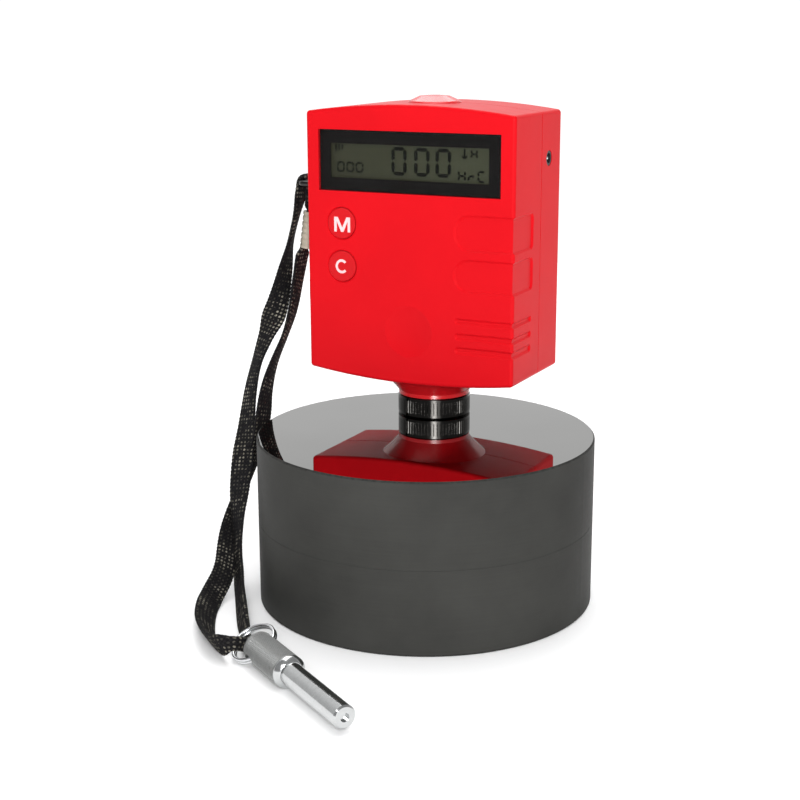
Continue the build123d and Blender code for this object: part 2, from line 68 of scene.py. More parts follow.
# ------------------------------------------------------------------ node helpers
class Shader:
    """One procedural material, built up from its Principled BSDF."""

    def __init__(self, name, color, rough, metal=0.0, **sockets):
        self.mat = bpy.data.materials.new(name)
        self.mat.use_nodes = True
        self.t = self.mat.node_tree
        self.bsdf = self.t.nodes["Principled BSDF"]
        self.set("Base Color", (*color, 1.0))
        self.set("Roughness", rough)
        self.set("Metallic", metal)
        for key, value in sockets.items():
            self.set(key.replace("_", " "), value)
        self._coord = None

    def set(self, socket, value):
        self.bsdf.inputs[socket].default_value = value

    def node(self, kind, **inputs):
        n = self.t.nodes.new(kind)
        for key, value in inputs.items():
            n.inputs[key].default_value = value
        return n

    def link(self, a, b):
        self.t.links.new(a, b)

    @property
    def coord(self):
        if self._coord is None:
            self._coord = self.t.nodes.new("ShaderNodeTexCoord").outputs["Object"]
        return self._coord

    def scaled(self, scale, vector=None):
        n = self.t.nodes.new("ShaderNodeMapping")
        n.inputs["Scale"].default_value = scale
        self.link(vector or self.coord, n.inputs["Vector"])
        return n.outputs["Vector"]

    def noise(self, scale, detail=3.0, rough=0.55, vector=None, distortion=0.0):
        n = self.t.nodes.new("ShaderNodeTexNoise")
        n.inputs["Scale"].default_value = scale
        n.inputs["Detail"].default_value = detail
        n.inputs["Roughness"].default_value = rough
        n.inputs["Distortion"].default_value = distortion
        self.link(vector or self.coord, n.inputs["Vector"])
        return n.outputs["Fac"]

    def math(self, op, a, b=None, c=None, clamp=False):
        n = self.t.nodes.new("ShaderNodeMath")
        n.operation = op
        n.use_clamp = clamp
        for i, v in enumerate((a, b, c)):
            if v is None:
                continue
            if isinstance(v, (int, float)):
                n.inputs[i].default_value = v
            else:
                self.link(v, n.inputs[i])
        return n.outputs[0]

    def ramp(self, fac, stops, mode="LINEAR"):
        n = self.t.nodes.new("ShaderNodeValToRGB")
        n.color_ramp.interpolation = mode
        e = n.color_ramp.elements
        while len(e) < len(stops):
            e.new(0.5)
        for i, (pos, col) in enumerate(stops):
            e[i].position = pos
            e[i].color = (*col, 1.0) if len(col) == 3 else col
        self.link(fac, n.inputs["Fac"])
        return n.outputs["Color"]

    def mix(self, fac, a, b):
        n = self.t.nodes.new("ShaderNodeMix")
        n.data_type = "RGBA"
        for socket, v in ((n.inputs[0], fac), (n.inputs[6], a), (n.inputs[7], b)):
            if isinstance(v, tuple):
                socket.default_value = (*v, 1.0) if len(v) == 3 else v
            elif isinstance(v, (int, float)):
                socket.default_value = v
            else:
                self.link(v, socket)
        return n.outputs[2]

    def span(self, fac, low, high, out_low=0.0, out_high=1.0):
        n = self.t.nodes.new("ShaderNodeMapRange")
        n.inputs["From Min"].default_value = low
        n.inputs["From Max"].default_value = high
        n.inputs["To Min"].default_value = out_low
        n.inputs["To Max"].default_value = out_high
        self.link(fac, n.inputs["Value"])
        return n.outputs["Result"]

    def to(self, value, socket):
        self.link(value, self.bsdf.inputs[socket])

    def bump(self, height, strength=0.2, distance=0.0001):
        n = self.t.nodes.new("ShaderNodeBump")
        n.inputs["Strength"].default_value = strength
        n.inputs["Distance"].default_value = distance
        self.link(height, n.inputs["Height"])
        self.link(n.outputs["Normal"], self.bsdf.inputs["Normal"])
        return n


def plastic(name, color, rough, vary=0.08, grain=900.0, bump=0.12, distance=0.00003, spread=0.05, **sockets):
    """Moulded plastic: slight tone drift, uneven gloss and a fine grain."""
    s = Shader(name, color, rough, **sockets)
    drift = s.noise(45.0, 2.0)
    dark = tuple(c * (1 - vary) for c in color)
    light = tuple(min(1.0, c * (1 + vary)) for c in color)
    s.to(s.ramp(drift, [(0.3, dark), (0.7, light)]), "Base Color")
    s.to(s.span(s.noise(260.0, 4.0), 0.3, 0.7, rough - spread, rough + spread), "Roughness")
    s.bump(s.noise(grain, 3.0), bump, distance)
    return s


def metal(name, color, rough, lines=(1.0, 1.0, 1.0), scale=900.0, vary=0.12, bump=0.15, spread=0.08, distance=0.00002, **sockets):
    """Machined or plated metal: fine marks stretched along one direction."""
    s = Shader(name, color, rough, 1.0, **sockets)
    marks = s.noise(scale, 4.0, 0.6, vector=s.scaled(lines))
    blotch = s.noise(60.0, 3.0)
    dark = tuple(c * (1 - vary) for c in color)
    light = tuple(min(1.0, c * (1 + vary)) for c in color)
    s.to(s.ramp(marks, [(0.3, dark), (0.7, light)]), "Base Color")
    s.to(s.span(s.math("ADD", s.math("MULTIPLY", marks, 0.6), s.math("MULTIPLY", blotch, 0.4)), 0.3, 0.7, rough - spread, rough + spread), "Roughness")
    s.bump(marks, bump, distance)
    return s


def paint(obj, *shaders):
    obj.data.materials.clear()
    for s in shaders:
        obj.data.materials.append(s.mat)


# ------------------------------------------------------------------ materials
red = plastic("red_plastic", (0.57, 0.0048, 0.0095), 0.30, vary=0.03, grain=1100.0, bump=0.006, distance=0.00002, spread=0.015, Specular_IOR_Level=0.045)
red_gloss = plastic("red_gloss", (0.57, 0.0048, 0.0095), 0.24, vary=0.03, grain=1100.0, bump=0.03, distance=0.00002, spread=0.03, Specular_IOR_Level=0.90)
red_key = plastic("red_key", (0.50, 0.0045, 0.0085), 0.34, vary=0.04, grain=1500.0, bump=0.06, spread=0.03, Specular_IOR_Level=0.14)
black_abs = plastic("black_plastic", (0.012, 0.012, 0.013), 0.42, grain=2200.0, bump=0.2)
border_ink = plastic("border_ink", (0.0035, 0.0028, 0.0028), 0.5, vary=0.15, grain=3000.0, bump=0.05, Specular_IOR_Level=0.10)
white_abs = plastic("white_plastic", (0.78, 0.77, 0.74), 0.4)
component = plastic("component", (0.018, 0.018, 0.02), 0.5, grain=3000.0, bump=0.3)
legend = plastic("legend_ink", (0.90, 0.52, 0.53), 0.45, vary=0.04, grain=4000.0, bump=0.1)
cell = plastic("cell_wrap", (0.33, 0.36, 0.40), 0.35, vary=0.12)
red_lead = plastic("lead_insulation", (0.35, 0.02, 0.02), 0.5)
rubber = plastic("contact_rubber", (0.12, 0.12, 0.13), 0.7)
steel = metal("turned_steel", (0.56, 0.56, 0.57), 0.28, lines=(1.0, 1.0, 14.0))
bright = metal("plated_steel", (0.74, 0.75, 0.76), 0.16, vary=0.06, spread=0.05)
copper = metal("enamelled_copper", (0.62, 0.24, 0.09), 0.3, lines=(1.0, 1.0, 30.0), scale=300.0)


def make_board():
    s = Shader("solder_mask", (0.01, 0.12, 0.04), 0.35)
    tracks = s.noise(700.0, 0.0, vector=s.scaled((1.0, 1.0, 0.25)))
    lines = s.span(s.math("ABSOLUTE", s.math("SUBTRACT", tracks, 0.5)), 0.0, 0.03, 1.0, 0.0)
    s.to(s.mix(lines, (0.008, 0.10, 0.035), (0.03, 0.22, 0.07)), "Base Color")
    s.to(s.span(s.noise(300.0), 0.3, 0.7, 0.28, 0.42), "Roughness")
    s.bump(lines, 0.3, 0.00002)
    return s


def make_block():
    """Blackened, ground sides; lapped mirror top."""
    s = Shader("test_block_steel", (0.02, 0.02, 0.02), 0.42)
    geo = s.t.nodes.new("ShaderNodeNewGeometry")
    xyz = s.t.nodes.new("ShaderNodeSeparateXYZ")
    s.link(s.coord, xyz.inputs[0])
    nz = s.t.nodes.new("ShaderNodeSeparateXYZ")
    s.link(geo.outputs["True Normal"], nz.inputs[0])
    # the lapped face: flat, up, and at the very top
    top = s.math("MULTIPLY", s.math("GREATER_THAN", nz.outputs[2], 0.9), s.math("GREATER_THAN", xyz.outputs[2], 0.0448))
    # ground marks run round the side, so they are long round it and short along its height
    marks = s.noise(2600.0, 4.0, 0.65, vector=s.scaled((0.02, 0.02, 1.0)))
    blot = s.noise(38.0, 4.0, 0.6)
    fine = s.noise(900.0, 4.0)
    side = s.ramp(s.math("ADD", s.math("MULTIPLY", marks, 0.20), s.math("MULTIPLY", blot, 0.80)),
                  [(0.32, (0.032, 0.032, 0.030)), (0.68, (0.044, 0.044, 0.041))])
    # a slightly darker line along both rims, broken up by noise: painted shade that dims the rims' reflections
    rim_top = s.span(xyz.outputs[2], 0.0444, 0.0447)
    rim_low = s.span(xyz.outputs[2], 0.0007, 0.0004)
    rim_shade = s.math("MULTIPLY", s.math("MAXIMUM", rim_top, rim_low), s.span(fine, 0.35, 0.65, 0.2, 1.0))
    side = s.mix(rim_shade, side, (0.022, 0.022, 0.021))
    lapped = s.ramp(s.noise(25.0, 2.0), [(0.3, (0.250, 0.250, 0.243)), (0.7, (0.272, 0.272, 0.265))])
    s.to(s.mix(top, side, lapped), "Base Color")
    side_rough = s.span(s.math("ADD", s.math("MULTIPLY", fine, 0.5), s.math("MULTIPLY", marks, 0.5)), 0.3, 0.7, 0.44, 0.54)
    lap_rough = s.span(s.noise(120.0, 3.0), 0.3, 0.7, 0.012, 0.03)
    s.to(s.math("ADD", s.math("MULTIPLY", top, lap_rough), s.math("MULTIPLY", s.math("SUBTRACT", 1.0, top), side_rough)), "Roughness")
    s.to(top, "Metallic")
    s.set("Specular IOR Level", 0.03)
    s.bump(s.math("MULTIPLY", marks, s.math("SUBTRACT", 1.0, top)), 0.2, 0.00003)
    return s


def make_black_steel():
    s = metal("blackened_steel", (0.050, 0.048, 0.046), 0.17, lines=(1.0, 1.0, 10.0), scale=1100.0, vary=0.15, bump=0.06, spread=0.04)
    return s


def make_lcd():
    s = Shader("liquid_crystal", (0.03, 0.033, 0.021), 0.4, Specular_IOR_Level=0.15)
    xyz = s.t.nodes.new("ShaderNodeSeparateXYZ")
    s.link(s.coord, xyz.inputs[0])
    # painted light: the display's ground is darker to the left and lighter to the right, as the light falls across it;
    # the cloud noise adds an uneven tone
    across = s.span(xyz.outputs[0], (AX - 26) * MM, (AX + 24) * MM)
    cloud = s.noise(70.0, 3.0)
    tone = s.math("ADD", s.math("MULTIPLY", across, 0.6), s.math("MULTIPLY", cloud, 0.4))
    s.to(s.ramp(tone, [(0.15, (0.034, 0.036, 0.020)), (0.85, (0.052, 0.058, 0.034))]), "Base Color")
    s.to(s.span(s.noise(400.0), 0.3, 0.7, 0.28, 0.4), "Roughness")
    s.bump(s.noise(3000.0, 2.0), 0.05, 0.00001)
    return s


def make_segment():
    s = Shader("lcd_segment", (0.003, 0.004, 0.002), 0.5, Specular_IOR_Level=0.10)
    s.to(s.ramp(s.noise(500.0), [(0.3, (0.0015, 0.002, 0.001)), (0.7, (0.004, 0.0045, 0.003))]), "Base Color")
    s.to(s.span(s.noise(800.0), 0.3, 0.7, 0.3, 0.5), "Roughness")
    return s


def make_window():
    """Clear hard-coated window: mostly see-through, with a gloss."""
    s = Shader("clear_window", (0.01, 0.01, 0.01), 0.05, Alpha=0.10, IOR=1.5, Specular_IOR_Level=0.16)
    s.to(s.span(s.noise(90.0, 4.0), 0.35, 0.7, 0.03, 0.09), "Roughness")
    s.to(s.ramp(s.noise(40.0), [(0.3, (0.008, 0.008, 0.008)), (0.7, (0.014, 0.014, 0.014))]), "Base Color")
    return s


def make_braid():
    """Flat braid: dark yarns crossing at 45 degrees, with grey-brown flecks on their crowns, partly fleck yarn and
    partly a painted sheen highlight.
    """
    s = Shader("black_braid", (0.008, 0.008, 0.009), 0.85, Specular_IOR_Level=0.12)
    uv = s.t.nodes.new("ShaderNodeUVMap")
    uv.uv_map = "braid"
    sep = s.t.nodes.new("ShaderNodeSeparateXYZ")
    s.link(uv.outputs[0], sep.inputs[0])
    u, v = sep.outputs[0], sep.outputs[1]      # already in yarn pitches
    a = s.math("ADD", u, v)
    b = s.math("SUBTRACT", v, u)
    ia, ib = s.math("FLOOR", a), s.math("FLOOR", b)
    over = s.math("FLOORED_MODULO", s.math("ADD", ia, ib), 2.0)
    fa, fb = s.math("FRACT", a), s.math("FRACT", b)

    def crown(f):
        return s.math("SUBTRACT", 1.0, s.math("ABSOLUTE", s.math("SUBTRACT", s.math("MULTIPLY", f, 2.0), 1.0)))

    # across the yarn on top, and along it
    across = s.math("ADD", s.math("MULTIPLY", over, crown(fa)), s.math("MULTIPLY", s.math("SUBTRACT", 1.0, over), crown(fb)))
    along = s.math("ADD", s.math("MULTIPLY", over, crown(fb)), s.math("MULTIPLY", s.math("SUBTRACT", 1.0, over), crown(fa)))
    height = s.math("MULTIPLY", s.math("POWER", across, 0.6), s.math("POWER", along, 0.35))
    # one family of yarns has pale crowns, more in some runs than in others; the pale is partly fleck yarn and partly a
    # painted sheen highlight on the crowns
    chosen = s.math("MULTIPLY", over, s.span(s.noise(110.0, 2.0), 0.40, 0.58, 0.12, 1.0))
    broken = s.span(s.noise(650.0, 2.0), 0.42, 0.56, 0.0, 1.0)
    pale_fleck_and_sheen = s.math("MULTIPLY", s.math("MULTIPLY", chosen, broken), s.span(height, 0.28, 0.66))
    dark = s.ramp(s.noise(1500.0, 3.0), [(0.3, (0.004, 0.004, 0.005)), (0.7, (0.012, 0.011, 0.012))])
    # pale crown tone: partly yarn colour, partly painted sheen highlight
    fleck_and_sheen_tone = s.ramp(s.noise(260.0, 2.0), [(0.35, (0.085, 0.080, 0.062)), (0.65, (0.30, 0.28, 0.23))])
    # painted shade: the low parts between the yarns are darker than the yarns' own black
    s.to(s.mix(pale_fleck_and_sheen, s.mix(s.span(height, 0.0, 0.5), (0.0015, 0.0015, 0.0015), dark), fleck_and_sheen_tone), "Base Color")
    s.to(s.span(s.noise(2200.0), 0.3, 0.7, 0.75, 0.95), "Roughness")
    fibres = s.noise(5000.0, 2.0)
    s.bump(s.math("ADD", height, s.math("MULTIPLY", fibres, 0.25)), 0.5, 0.00010)
    return s


def make_cream():
    s = plastic("cream_ferrule", (0.42, 0.38, 0.30), 0.5, vary=0.18, grain=2500.0, bump=0.25)
    return s


block_steel, black_steel, lcd, segment, window, braid, cream, board = (
    make_block(), make_black_steel(), make_lcd(), make_segment(), make_window(), make_braid(), make_cream(), make_board())
knurl_steel = metal("knurled_steel", (0.27, 0.275, 0.27), 0.34, scale=1500.0, vary=0.15, spread=0.1)
rod_steel = metal("polished_rod", (0.52, 0.53, 0.53), 0.14, vary=0.05, spread=0.05, bump=0.08)

FINISH = {
    "test_block": block_steel, "front_shell": red, "rear_shell": red, "neck_collar": red_gloss, "support_ring": black_steel,
    "device_barrel": black_steel, "guide_tube": steel, "coil_bobbin": black_abs, "coil_winding": copper,
    "impact_hammer": steel, "hammer_magnet": bright, "ball_tip": bright, "catch_chuck": steel, "impact_spring": bright,
    "guide_cap": steel, "device_bracket": black_abs, "release_button": red_gloss, "release_rod": steel, "button_spring": bright,
    "key_m": red_key, "key_c": red_key, "side_key": red_key, "display_window": window, "window_border": border_ink,
    "display_glass": lcd, "display_backlight": white_abs, "contact_strips": rubber, "main_board": board,
    "board_screws": bright, "processor": component, "board_components": component, "key_switches": component,
    "side_switch": component, "battery_connector": white_abs, "battery": cell, "battery_leads": red_lead,
    "coil_leads": red_lead, "charging_jack": black_abs, "jack_pin": bright, "strap_lug": black_steel, "case_screws": bright,
    "lanyard": braid, "lanyard_ferrule": cream, "split_ring": bright, "rod_handle": knurl_steel, "push_rod": rod_steel,
}
for name, obj in N.items():
    if name in FINISH:
        paint(obj, FINISH[name])


# ------------------------------------------------------------------ mesh helpers
def add(name, verts, faces, shader, body, smooth=False):
    mesh = bpy.data.meshes.new(name)
    mesh.from_pydata([tuple(v) for v in verts], [], faces)
    mesh.update()
    obj = bpy.data.objects.new(name, mesh)
    scene.collection.objects.link(obj)
    if smooth:
        for p in mesh.polygons:
            p.use_smooth = True
    paint(obj, shader)
    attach(obj, body)
    return obj


# ------------------------------------------------------------------ display segments
def plate(outlines, y_front, thick):
    """Closed thin prisms from outlines in the display plane, local millimetres."""
    verts, faces = [], []
    for pts in outlines:
        area = sum(a[0] * b[1] - b[0] * a[1] for a, b in zip(pts, pts[1:] + pts[:1]))
        if area < 0:
            pts = pts[::-1]
        n, k = len(pts), len(verts)
        verts += [P(x, y_front, z) for x, z in pts] + [P(x, y_front + thick, z) for x, z in pts]
        faces.append(tuple(range(k, k + n)))
        faces.append(tuple(range(k + 2 * n - 1, k + n - 1, -1)))
        for i in range(n):
            j = (i + 1) % n
            faces.append((k + i, k + n + i, k + n + j, k + j))
    return verts, faces


def bar(x0, z0, x1, z1, w):
    """One segment: a straight bar with pointed ends."""
    d = Vector((x1 - x0, z1 - z0)).normalized()
    n = Vector((-d.y, d.x)) * (w / 2)
    a, b = Vector((x0, z0)), Vector((x1, z1))
    tip = d * (w / 2)
    return [tuple(a), tuple(a + tip + n), tuple(b - tip + n), tuple(b), tuple(b - tip - n), tuple(a + tip - n)]


SEG = {"0": "abcdef", "H": "bcefg", "r": "eg", "C": "adef", "1": "bc"}


def digit(ch, x, z, w, h, t):
    g = t * 0.12
    xl, xr = x + t / 2, x + w - t / 2
    zb, zm, zt = z + t / 2, z + h / 2, z + h - t / 2
    where = {
        "a": (xl + g, zt, xr - g, zt), "b": (xr, zm + g, xr, zt - g), "c": (xr, zb + g, xr, zm - g),
        "d": (xl + g, zb, xr - g, zb), "e": (xl, zb + g, xl, zm - g), "f": (xl, zm + g, xl, zt - g),
        "g": (xl + g, zm, xr - g, zm),
    }
    return [bar(*where[s], t) for s in SEG[ch]]


shapes = []
for i in range(3):
    shapes += digit("0", -22.7 + i * 2.85, 67.25, 2.4, 2.9, 0.55)
for x in (-6.2, 0.5, 6.7):
    shapes += digit("0", x, 67.0, 4.5, 7.5, 1.0)
for i, ch in enumerate("HrC"):
    shapes += digit(ch, 13.1 + i * 2.8, 66.1, 2.35, 3.1, 0.58)
# small marks at the top right and the top left
shapes += [bar(15.0, 72.0, 15.0, 74.7, 0.5), bar(14.1, 73.0, 15.0, 72.0, 0.42), bar(15.9, 73.0, 15.0, 72.0, 0.42)]
shapes += digit("H", 16.7, 72.0, 2.1, 2.7, 0.52)
shapes += [bar(-22.9 + i * 0.95, 72.6 + i * 0.3, -22.9 + i * 0.95, 74.7, 0.5) for i in range(3)]
verts, faces = plate(shapes, -13.59, 0.07)
add("display_segments", verts, faces, segment, "tester")


# ------------------------------------------------------------------ key legends
def key_letter(name, outline, body):
    verts, faces = plate([outline], -15.785, 0.05)
    add(name, verts, faces, legend, body)


W, TALL, STROKE = 4.9, 4.0, 0.78
x0, z0 = -20.1 - W / 2, 53.4 - TALL / 2
key_letter("legend_m", [(x0 + a, z0 + b) for a, b in (
    (0, 0), (0, TALL), (1.12, TALL), (W / 2, 1.2), (W - 1.12, TALL), (W, TALL), (W, 0), (W - STROKE, 0), (W - STROKE, 2.85),
    (W / 2 + 0.36, 0), (W / 2 - 0.36, 0), (STROKE, 2.85), (STROKE, 0))], "key_m")
turns = [math.radians(42 + 276 * i / 48) for i in range(49)]
key_letter("legend_c", [(-20.4 + 1.88 * math.cos(t), 42.0 + 1.92 * math.sin(t)) for t in turns]
           + [(-20.4 + 1.2 * math.cos(t), 42.0 + 1.22 * math.sin(t)) for t in reversed(turns)], "key_c")

# ------------------------------------------------------------------ lanyard
# the route's points, millimetres
ROUTE = [
    (-42.1, 12.9, 97.2), (-41.45, 12.93, 102.1), (-41.15, 13.0, 105.9), (-41.05, 13.0, 109.9), (-42.5, 13.0, 110.7),
    (-44.25, 13.0, 109.3), (-44.45, 12.7, 105.4), (-45.65, 12.1, 99.6), (-47.52, 11.5, 92.23), (-48.68, 10.0, 83.32),
    (-49.63, 7.5, 74.53), (-51.71, 4.5, 66.58), (-53.63, 1.5, 58.63), (-53.77, -2.0, 50.69), (-52.76, -5.8, 42.42),
    (-51.48, -10.2, 34.42), (-49.99, -14.6, 26.55), (-48.4, -18.4, 19.21), (-46.66, -21.6, 12.08), (-44.23, -25.2, 6.15),
    (-40.34, -30.82, 3.3), (-35.42, -37.97, 2.2), (-30.23, -45.32, 2.0), (-25.46, -51.36, 1.8), (-21.2, -57.2, 1.75),
    (-19.6, -62.1, 4.5), (-20.5, -64.8, 5.5), (-23.1, -65.2, 4.8), (-26.44, -63.47, 3.4), (-32.43, -58.33, 2.4),
    (-40.1, -48.4, 2.0), (-46.36, -36.43, 2.1), (-46.9, -28.0, 6.6), (-49.7, -22.0, 11.6), (-52.2, -16.7, 16.5),
    (-52.67, -12.0, 22.22), (-50.92, -8.4, 29.35), (-48.76, -6.2, 37.2), (-47.75, -4.8, 45.08), (-48.3, -2.1, 52.46),
    (-47.74, 1.7, 59.75), (-46.44, 5.8, 66.24), (-45.75, 9.3, 73.4), (-45.64, 11.6, 80.45), (-45.2, 12.5, 84.6),
    (-44.4, 12.3, 88.06), (-42.17, 12.9, 96.7),
]
line = bpy.data.curves.new("lanyard_line", "CURVE")
line.dimensions = "3D"
line.resolution_u = 24
spline = line.splines.new("NURBS")
spline.points.add(len(ROUTE) - 1)
for point, (x, y, z) in zip(spline.points, ROUTE):
    point.co = (x * MM, y * MM, z * MM, 1.0)
spline.order_u = 3
spline.use_endpoint_u = True
line_obj = bpy.data.objects.new("lanyard_line", line)
scene.collection.objects.link(line_obj)
bpy.context.view_layer.update()
read = bpy.data.meshes.new_from_object(line_obj.evaluated_get(bpy.context.evaluated_depsgraph_get()))
raw = [v.co.copy() for v in read.vertices]
bpy.data.objects.remove(line_obj)

# even steps along the line
STEP = 0.30 * MM
dist = [0.0]
for a, b in zip(raw, raw[1:]):
    dist.append(dist[-1] + (b - a).length)
LENGTH = dist[-1]
count = int(round(LENGTH / STEP))
centre, k = [], 0
for i in range(count + 1):
    s = LENGTH * i / count
    while k < len(dist) - 2 and dist[k + 1] < s:
        k += 1
    f = (s - dist[k]) / max(1e-12, dist[k + 1] - dist[k])
    centre.append(raw[k].lerp(raw[k + 1], min(1.0, max(0.0, f))))

# where along the line each route point has its pull (the nearest sample, in order)
marks, start_at = [], 0
for p in ROUTE:
    target = Vector(p) * MM
    best = min(range(start_at, min(count + 1, start_at + 90)), key=lambda j: (centre[j] - target).length_squared)
    marks.append(best)
    start_at = best
marks[0], marks[-1] = 0, count

# which way the strap's width points at the route's points: vw lies along the view, rw across it
vw, rw, zw = Vector((-0.4505, 0.893, 0)), Vector((0.893, 0.4505, 0)), Vector((0, 0, 1))


def ang(deg):
    return vw * math.cos(math.radians(deg)) + rw * math.sin(math.radians(deg))


WIDTH = {
    0: ang(27), 6: ang(27), 7: ang(8), 8: ang(5), 9: ang(35), 10: ang(60), 11: ang(138), 12: ang(157), 13: ang(148),
    14: ang(137), 15: ang(112), 16: ang(122), 17: ang(150), 18: ang(160), 19: ang(160), 20: Vector((0.47, -0.18, 0.86)),
    21: Vector((0.354, 0.053, 0.91)), 22: Vector((0.32, 0.16, 0.93)), 24: Vector((0.38, 0.2, 0.9)), 25: Vector((0.2, 0.1, 0.97)),
    26: Vector((0, -0.1, 1)), 27: Vector((-0.2, -0.12, 0.97)), 28: Vector((-0.42, -0.33, 0.84)), 30: Vector((-0.62, -0.42, 0.66)),
    31: Vector((-0.62, -0.40, 0.67)), 32: Vector((-0.45, -0.80, 0.40)), 33: -ang(38), 34: -ang(26), 35: -ang(24), 36: -ang(27),
    37: -ang(32), 38: -ang(35), 39: -ang(24), 40: -ang(14), 41: -ang(9), 42: -ang(18), 43: -ang(22), 44: -ang(24),
    45: -ang(30), 46: -ang(27),
}
keys = sorted(WIDTH)
tangent = []
for i in range(count + 1):
    a, b = centre[max(0, i - 2)], centre[min(count, i + 2)]
    tangent.append((b - a).normalized())
wide = []
for i in range(count + 1):
    lo = max(k for k in keys if marks[k] <= i)
    later = [k for k in keys if marks[k] > i]
    hi = later[0] if later else lo
    f = 0.0 if hi == lo else (i - marks[lo]) / max(1, marks[hi] - marks[lo])
    f = f * f * (3 - 2 * f)
    w = WIDTH[lo].lerp(WIDTH[hi], f)
    w = w - tangent[i] * w.dot(tangent[i])
    wide.append(w.normalized())
for _ in range(14):                       # ease the twist
    smooth = []
    for i in range(count + 1):
        w = wide[max(0, i - 3)] + wide[i] * 2 + wide[min(count, i + 3)]
        w = w - tangent[i] * w.dot(tangent[i])
        smooth.append(w.normalized())
    wide = smooth

STRAP_W, STRAP_T, PITCH = 6.6 * MM, 1.15 * MM, 1.10 * MM
# the strap is gathered in the ferrule, a little at the lug's bar, and where it is drawn through the split ring
GATHER = [(2, 0.0, 0.0), (2.6, 0.9, 0.0), (5.4, 0.9, 0.0), (6.2, 0.0, 0.0), (21.6, 0.0, 0.0), (23.6, 3.2, 0.75), (25.8, 3.0, 0.65), (28.0, 0.0, 0.0), (46, 0.0, 0.0)]
half_w, half_t = [], []
for i in range(count + 1):
    s = LENGTH * i / count
    near = min(max(0.0, (s - 3.1 * MM) / (2.2 * MM)), max(0.0, (LENGTH - s - 6.2 * MM) / (2.6 * MM)), 1.0)
    near = near * near * (3 - 2 * near)
    lo = max(k for k in range(len(marks)) if marks[k] <= i)
    at = lo + (0.0 if lo + 1 >= len(marks) else (i - marks[lo]) / max(1, marks[lo + 1] - marks[lo]))
    less = more = 0.0
    for (a, wa, ta), (b, wb, tb) in zip(GATHER, GATHER[1:]):
        if a <= at <= b:
            f = (at - a) / (b - a)
            f = f * f * (3 - 2 * f)
            less, more = wa + (wb - wa) * f, ta + (tb - ta) * f
    full_w, full_t = STRAP_W / MM / 2 - less / 2, STRAP_T / MM / 2 + more / 2
    half_w.append((1.22 + (full_w - 1.22) * near) * MM)
    half_t.append((0.72 + (full_t - 0.72) * near) * MM)

# nothing goes into the floor: the line is lifted where the strap's lower edge would
for i in range(count + 1):
    n = tangent[i].cross(wide[i]).normalized()
    low = abs(wide[i].z) * (half_w[i] - half_t[i]) + half_t[i] + 0.10 * MM
    if centre[i].z < low:
        centre[i] = Vector((centre[i].x, centre[i].y, low))
for _ in range(6):
    centre = [centre[0]] + [(centre[i - 1] + centre[i] * 2 + centre[i + 1]) / 4 for i in range(1, count)] + [centre[-1]]

AROUND = 36
verts, faces, uvs = [], [], []
perim = []
for j in range(AROUND):
    # a flat strap's section: two faces and two round edges
    t = j / AROUND * 2 * math.pi
    c, q = math.cos(t), math.sin(t)
    sx = math.copysign(abs(c) ** 0.55, c)
    sy = math.copysign(abs(q) ** 0.75, q)
    perim.append((sx, sy))
for i in range(count + 1):
    w, n = wide[i], tangent[i].cross(wide[i]).normalized()
    s = LENGTH * i / count
    v = s / PITCH
    for j, (sx, sy) in enumerate(perim):
        u = sx * half_w[i] / PITCH
        side = 1 if sy >= 0 else -1
        # yarns cross over and under
        a, b = u * side + v, v - u * side
        ia, ib = math.floor(a), math.floor(b)
        fa, fb = a - ia, b - ib
        over = (ia + ib) % 2
        crown = math.sin(math.pi * (fa if over else fb)) ** 0.7
        run = math.sin(math.pi * (fb if over else fa)) ** 0.4
        lift = 0.16 * MM * (crown * run - 0.6)
        edge = abs(sx)
        p = centre[i] + w * (sx * half_w[i]) + n * (sy * half_t[i])
        out = (w * (sx * 0.9 * (edge ** 6)) + n * sy)
        if out.length > 1e-9:
            p = p + out.normalized() * lift
        verts.append(p)
        uvs.append((u * side, v))
for i in range(count):
    for j in range(AROUND):
        k = (j + 1) % AROUND
        faces.append((i * AROUND + j, i * AROUND + k, (i + 1) * AROUND + k, (i + 1) * AROUND + j))
faces.append(tuple(range(AROUND - 1, -1, -1)))
faces.append(tuple(count * AROUND + j for j in range(AROUND)))
lanyard = add("lanyard_strap", verts, faces, braid, "tester", smooth=True)
bm = bmesh.new()
bm.from_mesh(lanyard.data)
bmesh.ops.recalc_face_normals(bm, faces=bm.faces)
bm.to_mesh(lanyard.data)
bm.free()
layer = lanyard.data.uv_layers.new(name="braid")
for loop in lanyard.data.loops:
    layer.data[loop.index].uv = uvs[loop.vertex_index]
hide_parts("lanyard")

# ------------------------------------------------------------------ knurled handle
END = Vector((-16.0, -60.9, 4.15))
D = Vector((0.8394, -0.5433, 0.0)).normalized()
H = Vector((-D.y, D.x, 0.0))
HOLE = (H * math.cos(math.radians(30)) + zw * math.sin(math.radians(30))).normalized()
SIDE = D.cross(HOLE).normalized()
HANDLE_R, HANDLE_L, HOLE_AT, HOLE_R = 4.1, 18.8, 2.9, 1.7
TEETH, ROUND = 34, 34 * 7
prof = [(0.0, 0.0, 0), (1.2, 0.0, 0), (2.4, 0.0, 0), (3.22, 0.0, 0), (3.38, 0.04, 0), (3.68, 0.34, 0), (3.92, 0.58, 0), (3.98, 0.72, 0)]
t = 0.9
KNURL_END = 16.95
while t < KNURL_END:
    prof.append((HANDLE_R, t, 1))
    t += 0.13
SMOOTH_FROM = len(prof)
prof += [(3.86, 17.02, 0), (3.86, 17.2, 0), (4.08, 17.32, 0), (4.1, 17.4, 0), (4.1, 17.66, 0), (4.05, 17.76, 0), (3.5, 18.32, 0), (3.12, 18.68, 0),
         (2.98, 18.77, 0), (2.9, 18.8, 0), (2.0, 18.8, 0), (0.0, 18.8, 0)]


def tri(x):
    f = x - math.floor(x)
    return 1 - abs(2 * f - 1)


